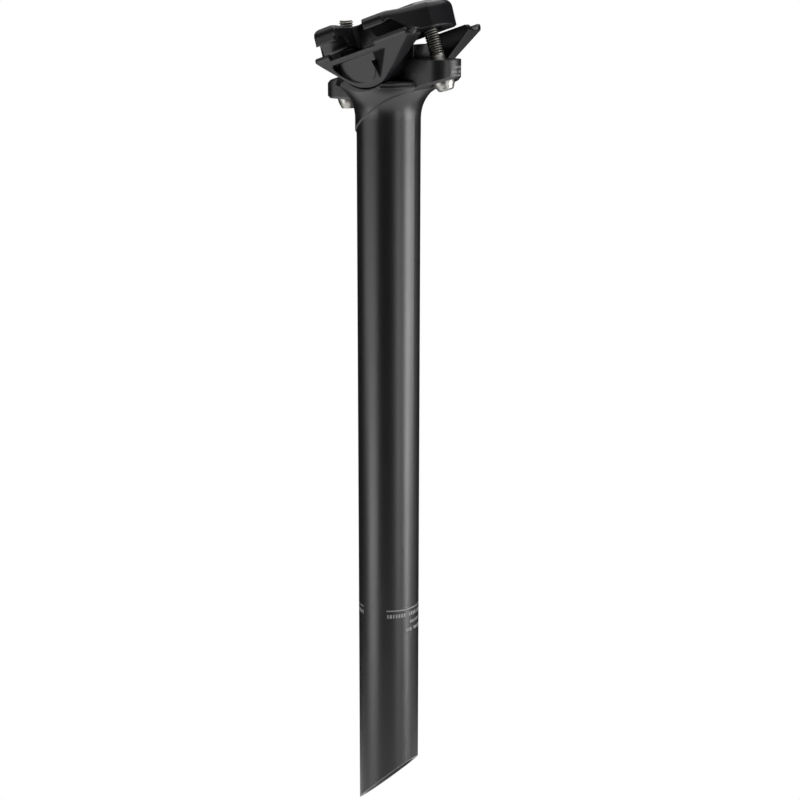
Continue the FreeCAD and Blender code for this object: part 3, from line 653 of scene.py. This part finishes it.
@dataclass
class Post:
    """The tube with its head, and the print on them."""

    radius: float = 13.6
    print_turn: float = 6.65
    line_half_angle: float = 64.35
    ear_centre: Vector = field(default_factory=lambda: Vector((26.4, 0.0, 0.0)))
    ear_radius: float = 8.6
    ear_middle: float = 97.0

    def tube_rows(self) -> list[PrintRow]:
        """The line and the three rows below it."""
        return [
            PrintRow(-0.25, self.line_half_angle, 0.5),
            PrintRow(-2.9, self.line_half_angle, 1.7, 11),
            PrintRow(-6.7, 15.2, 1.4, 23),
            PrintRow(-10.3, 25.2, 1.6, 37),
        ]

    def ear_rows(self) -> list[PrintRow]:
        """The three rows on the rear ear's round end."""
        return [
            PrintRow(239.2, 20.0, 1.0, 5),
            PrintRow(237.4, 31.0, 1.0, 6),
            PrintRow(235.9, 20.0, 0.8, 8),
        ]

    def build(self, tree: GrowthTree) -> None:
        """Dresses the post and prints on it.

        Args:
            tree: The tree that prints a row.
        """
        dressed_node("post", POST_BLACK.material())
        ink = GREY_INK.material()
        mesh = bpy.data.meshes.new("tube_print")
        for facing in (90.0, -90.0):
            for row in self.tube_rows():
                mesh = row.grow(tree, mesh, self.radius, facing + self.print_turn, Vector(), ink)
        placed("tube_print", mesh, Body.POST)
        mesh = bpy.data.meshes.new("ear_print")
        for row in self.ear_rows():
            mesh = row.grow(tree, mesh, self.ear_radius, self.ear_middle, self.ear_centre, ink)
        placed("ear_print", mesh, Body.POST)


@dataclass
class SaddleClamp:
    """The cradle, the clamp above it and the two cross nuts."""

    def build(self) -> None:
        """Dresses the four solids."""
        black = CLAMP_BLACK.material()
        steel = NUT_STEEL.material()
        for node, finish in {
            "lower_cradle": black, "upper_clamp": black, "front_barrel_nut": steel, "rear_barrel_nut": steel,
        }.items():
            dressed_node(node, finish)


@dataclass
class SwingBolt:
    """A bolt that hangs through an ear: tapered socket head, plain neck and rolled thread."""

    node: str
    body: Body
    swing: Vector
    lean: float
    head_radius: float = 4.7
    foot_radius: float = 3.3
    head_top: float = 1.0
    head_height: float = 5.2
    shank: float = 3.0
    socket_radius: float = 1.9
    socket_depth: float = 2.6
    drill_point: float = 0.4
    drill_share: float = 0.6
    socket_chamfer: float = 0.1
    thread_start: float = 9.6
    end: float = 32.5
    pitch: float = 1.0
    thread_depth: float = 0.58
    foot_round: float = 0.5
    bulge: float = 0.22
    brim: float = 1.2
    brim_round: float = 0.3
    bevel: float = 0.25
    around: int = 48
    round_steps: int = 4
    side_steps: int = 8
    rows_per_turn: int = 12
    sharp_angle: float = 38.0

    def hexagon(self, angle: float) -> float:
        """Distance of the socket's wall from its axis.

        Args:
            angle: The direction from the axis, in radians.

        Returns:
            The distance in millimetres.
        """
        sixth = FULL_TURN / 6
        off_flat = angle % sixth - sixth / 2
        return self.socket_radius * math.cos(sixth / 2) / math.cos(off_flat)

    def profile(self) -> list[tuple[float, float, bool]]:
        """Half section of the head and the plain neck, from the socket's floor outwards.

        Returns:
            Radius, height and whether the ring is a hexagon, ring by ring. A hexagon's radius is a share
            of the socket's.
        """
        foot = self.head_top - self.head_height
        floor = foot + self.socket_depth
        quarter = [math.radians(90 * step / self.round_steps) for step in range(1, self.round_steps + 1)]
        rings = [
            (0.0, floor + self.drill_point, False),
            (self.drill_share, floor, True),
            (1.0, floor, True),
            (1.0, foot + self.bevel, True),
            (self.socket_radius + self.socket_chamfer, foot, False),
            (self.foot_radius - self.foot_round, foot, False),
        ]
        inner, side = self.foot_radius - self.foot_round, foot + self.foot_round
        for angle in quarter:
            reach, drop = self.foot_round * math.sin(angle), self.foot_round * math.cos(angle)
            rings.append((inner + reach, side - drop, False))
        rise = self.head_top - self.brim - side
        for step in range(1, self.side_steps + 1):
            share = step / self.side_steps
            straight = self.foot_radius + (self.head_radius - self.foot_radius) * share
            rings.append((straight + self.bulge * math.sin(math.pi * share), side + rise * share, False))
        inner, side = self.head_radius - self.brim_round, self.head_top - self.brim_round
        for angle in quarter:
            reach, lift = self.brim_round * math.cos(angle), self.brim_round * math.sin(angle)
            rings.append((inner + reach, side + lift, False))
        rings.append((self.shank + self.brim_round, self.head_top, False))
        rings.append((self.shank, self.head_top + self.brim_round, False))
        rings.append((self.shank, self.thread_start, False))
        return rings

    def turned(self) -> bpy.types.Mesh:
        """Builds the head and the plain neck.

        Returns:
            The mesh, closed below and open where the thread starts.
        """
        shape = bmesh.new()
        before: list[bmesh.types.BMVert] = []
        for radius, height, is_hexagon in self.profile():
            if radius == 0.0:
                before = [shape.verts.new((0, 0, height * MM))] * self.around
                continue
            ring = []
            for step in range(self.around):
                angle = -math.pi + FULL_TURN * step / self.around
                reach = radius * self.hexagon(angle) if is_hexagon else radius
                ring.append(shape.verts.new((
                    reach * math.cos(angle) * MM, reach * math.sin(angle) * MM, height * MM,
                )))
            for step in range(self.around):
                after = (step + 1) % self.around
                corners = [before[step], ring[step], ring[after], before[after]]
                if before[step] is before[after]:
                    corners = corners[:3]
                shape.faces.new(corners)
            before = ring
        mesh = bpy.data.meshes.new(self.node + "_turned")
        bmesh.ops.recalc_face_normals(shape, faces=shape.faces)
        shape.to_mesh(mesh)
        shape.free()
        return mesh

    def build(self, tree: GrowthTree, steel: bpy.types.Material, black: bpy.types.Material) -> None:
        """Builds the bolt in place of its solid, and dresses its washer.

        Args:
            tree: The tree that grows a thread.
            steel: The bolt's finish.
            black: The washer's finish.
        """
        length = self.end - self.thread_start
        mesh = tree.grown(self.turned(), {
            "Around": self.around,
            "Rows": round(length / self.pitch * self.rows_per_turn),
            "Radius": self.shank * MM,
            "Depth": self.thread_depth * MM,
            "Pitch": self.pitch * MM,
            "Start": self.thread_start * MM,
            "Length": length * MM,
            "Material": steel,
        })
        mesh.transform(Matrix.Translation(self.swing * MM) @ Matrix.Rotation(math.radians(self.lean), 4, "Y"))
        mesh.polygons.foreach_set("use_smooth", [True] * len(mesh.polygons))
        mesh.set_sharp_from_angle(angle=math.radians(self.sharp_angle))
        piece = placed(self.node + "_threaded", mesh, self.body)
        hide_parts(self.node)
        dressed_node(self.node.replace("bolt", "washer"), black)


@dataclass(frozen=True)
class Softbox:
    """A lit panel that stands round the object and faces it.

    Its azimuth goes round from -Y towards +X. Angles are in degrees, and its distance and its lower and
    upper edges in metres.
    """

    name: str
    azimuth: float
    half_angle: float
    distance: float
    low: float
    high: float
    radiance: float
    lean: float = 0.0

    def build(self) -> None:
        """Adds the lamp, leaned forward over the object by its angle."""
        width = 2 * math.tan(math.radians(self.half_angle)) * self.distance
        height = self.high - self.low
        lamp = bpy.data.lights.new(self.name, "AREA")
        lamp.shape = "RECTANGLE"
        lamp.size = width
        lamp.size_y = height
        lamp.energy = self.radiance * math.pi * width * height
        holder = bpy.data.objects.new(self.name, lamp)
        angle = math.radians(self.azimuth)
        middle = (self.low + self.high) / 2
        holder.location = (self.distance * math.sin(angle), -self.distance * math.cos(angle), middle)
        holder.rotation_euler = (math.pi / 2 - math.radians(self.lean), 0, angle)
        holder.visible_camera = False
        bpy.context.scene.collection.objects.link(holder)


@dataclass(frozen=True)
class Drape:
    """A dark cloth on a round rail about the stage, which only reflections show. Its sizes are in metres."""

    name: str
    radius: float
    low: float
    high: float
    grey: float
    roughness: float = 0.9
    steps: int = 72

    def build(self) -> None:
        """Adds the cloth."""
        angles = [FULL_TURN * step / self.steps for step in range(self.steps)]
        points = [
            (self.radius * math.sin(angle), -self.radius * math.cos(angle), level)
            for level in (self.low, self.high) for angle in angles
        ]
        faces = []
        for step in range(self.steps):
            after = (step + 1) % self.steps
            faces.append((step, after, self.steps + after, self.steps + step))
        mesh = bpy.data.meshes.new(self.name)
        mesh.from_pydata(points, [], faces)
        cloth_grey = (self.grey, self.grey, self.grey, 1.0)
        mesh.materials.append(SurfaceTree(self.name).finish({
            "Base Color": cloth_grey, "Roughness": self.roughness,
        }))
        cloth = bpy.data.objects.new(self.name, mesh)
        cloth.visible_camera = False
        bpy.context.scene.collection.objects.link(cloth)


@dataclass
class Studio:
    """Camera, lamps, the drape, the pale floor and the white surround."""

    camera_place: tuple[float, float, float] = (0.4318, -0.5732, 0.2792)
    camera_tilt: float = 74.751
    camera_turn: float = 36.93
    lens: float = 75.58
    sensor_width: float = 36.0
    clip_start: float = 0.01
    shift: tuple[float, float] = (0.0119, 0.0287)
    floor_level: float = -0.75
    floor_half: float = 6.0
    floor_colour: Colour = (0.8, 0.8, 0.8)
    surround_white: float = 1.0
    surround_fill: float = 0.35
    boxes: tuple[Softbox, ...] = (
        Softbox("left_softbox", -36.0, 27.0, 1.0, -0.2, 0.2, 1.2),
        Softbox("low_left_softbox", -27.0, 18.0, 1.0, -0.45, -0.2, 3.2),
        Softbox("right_softbox", 72.0, 9.0, 1.0, -0.45, 0.2, 2.0),
        Softbox("rear_strip", 108.0, 9.0, 1.0, -0.45, 0.2, 5.9),
        Softbox("rear_softbox", 126.0, 9.0, 1.0, -0.2, 0.2, 3.8),
        Softbox("rear_fill", 145.0, 10.0, 1.0, -0.45, 0.2, 0.45),
        Softbox("top_softbox", 217.0, 45.0, 0.45, 0.85, 1.45, 2.5, 64.0),
    )
    drape: Drape = Drape("round_drape", 1.3, -0.74, 1.1, 0.02)

    def build_camera(self) -> None:
        """Adds the camera where the photograph was taken from."""
        lens = bpy.data.cameras.new("camera")
        lens.lens = self.lens
        lens.sensor_width = self.sensor_width
        lens.shift_x, lens.shift_y = self.shift
        lens.clip_start = self.clip_start
        camera = bpy.data.objects.new("camera", lens)
        camera.location = self.camera_place
        camera.rotation_euler = (math.radians(self.camera_tilt), 0, math.radians(self.camera_turn))
        bpy.context.scene.collection.objects.link(camera)
        bpy.context.scene.camera = camera

    def surround_tree(self, tree: Tree) -> Wire:
        """Tells the rays that see the white surround: camera, glossy and transmission rays do.

        Args:
            tree: The tree of the floor or of the world.

        Returns:
            1 for those rays and 0 for all others.
        """
        path = tree.add("ShaderNodeLightPath").socket.node
        camera, glossy, through = (
            Wire(tree, path.outputs["Is %s Ray" % kind]) for kind in ("Camera", "Glossy", "Transmission")
        )
        return (camera + glossy + through).clamped()

    def build_surround(self) -> None:
        """Makes the world white where it is seen, and a plain fill light elsewhere."""
        world = bpy.data.worlds.new("surround")
        world.use_nodes = True
        tree = Tree(world.node_tree)
        seen = self.surround_tree(tree)
        strength = seen * (self.surround_white - self.surround_fill) + self.surround_fill
        light = tree.add("ShaderNodeBackground", sockets={"Color": WHITE, "Strength": strength})
        tree.add("ShaderNodeOutputWorld", sockets={"Surface": light})
        bpy.context.scene.world = world

    def build_floor(self) -> None:
        """Adds the pale floor, which looks white to the camera and in reflections."""
        half = self.floor_half
        mesh = bpy.data.meshes.new("floor")
        corners = [
            (x * half, y * half, self.floor_level) for x, y in ((-1, -1), (1, -1), (1, 1), (-1, 1))
        ]
        mesh.from_pydata(corners, [], [(0, 1, 2, 3)])
        tree = SurfaceTree("pale_floor")
        matt = tree.add("ShaderNodeBsdfDiffuse", sockets={"Color": (*self.floor_colour, 1.0)})
        glow = tree.add("ShaderNodeEmission", sockets={"Color": WHITE, "Strength": self.surround_white})
        shown = tree.add("ShaderNodeMixShader", sockets={0: self.surround_tree(tree), 1: matt, 2: glow})
        tree.add("ShaderNodeOutputMaterial", sockets={"Surface": shown})
        mesh.materials.append(tree.material)
        floor = bpy.data.objects.new("floor", mesh)
        bpy.context.scene.collection.objects.link(floor)

    def build(self) -> None:
        """Builds the whole studio."""
        self.build_camera()
        self.build_surround()
        self.build_floor()
        for box in self.boxes:
            box.build()
        self.drape.build()
        bpy.context.scene.view_settings.view_transform = "Standard"


def main() -> None:
    """Builds the dressed seatpost and its studio."""
    logging.basicConfig(level=logging.INFO, format="%(name)s: %(message)s")
    Studio().build()
    Post().build(print_tree())
    SaddleClamp().build()
    screw = thread_tree()
    steel = BOLT_STEEL.material()
    black = WASHER_BLACK.material()
    for bolt in (
        SwingBolt("front_bolt", Body.FRONT_BOLT, Vector((-21.399, 0.0, 224.202)), -2.08),
        SwingBolt("rear_bolt", Body.REAR_BOLT, Vector((28.199, 0.0, 233.700)), -19.17),
    ):
        bolt.build(screw, steel, black)


if __name__ == "__main__":
    main()
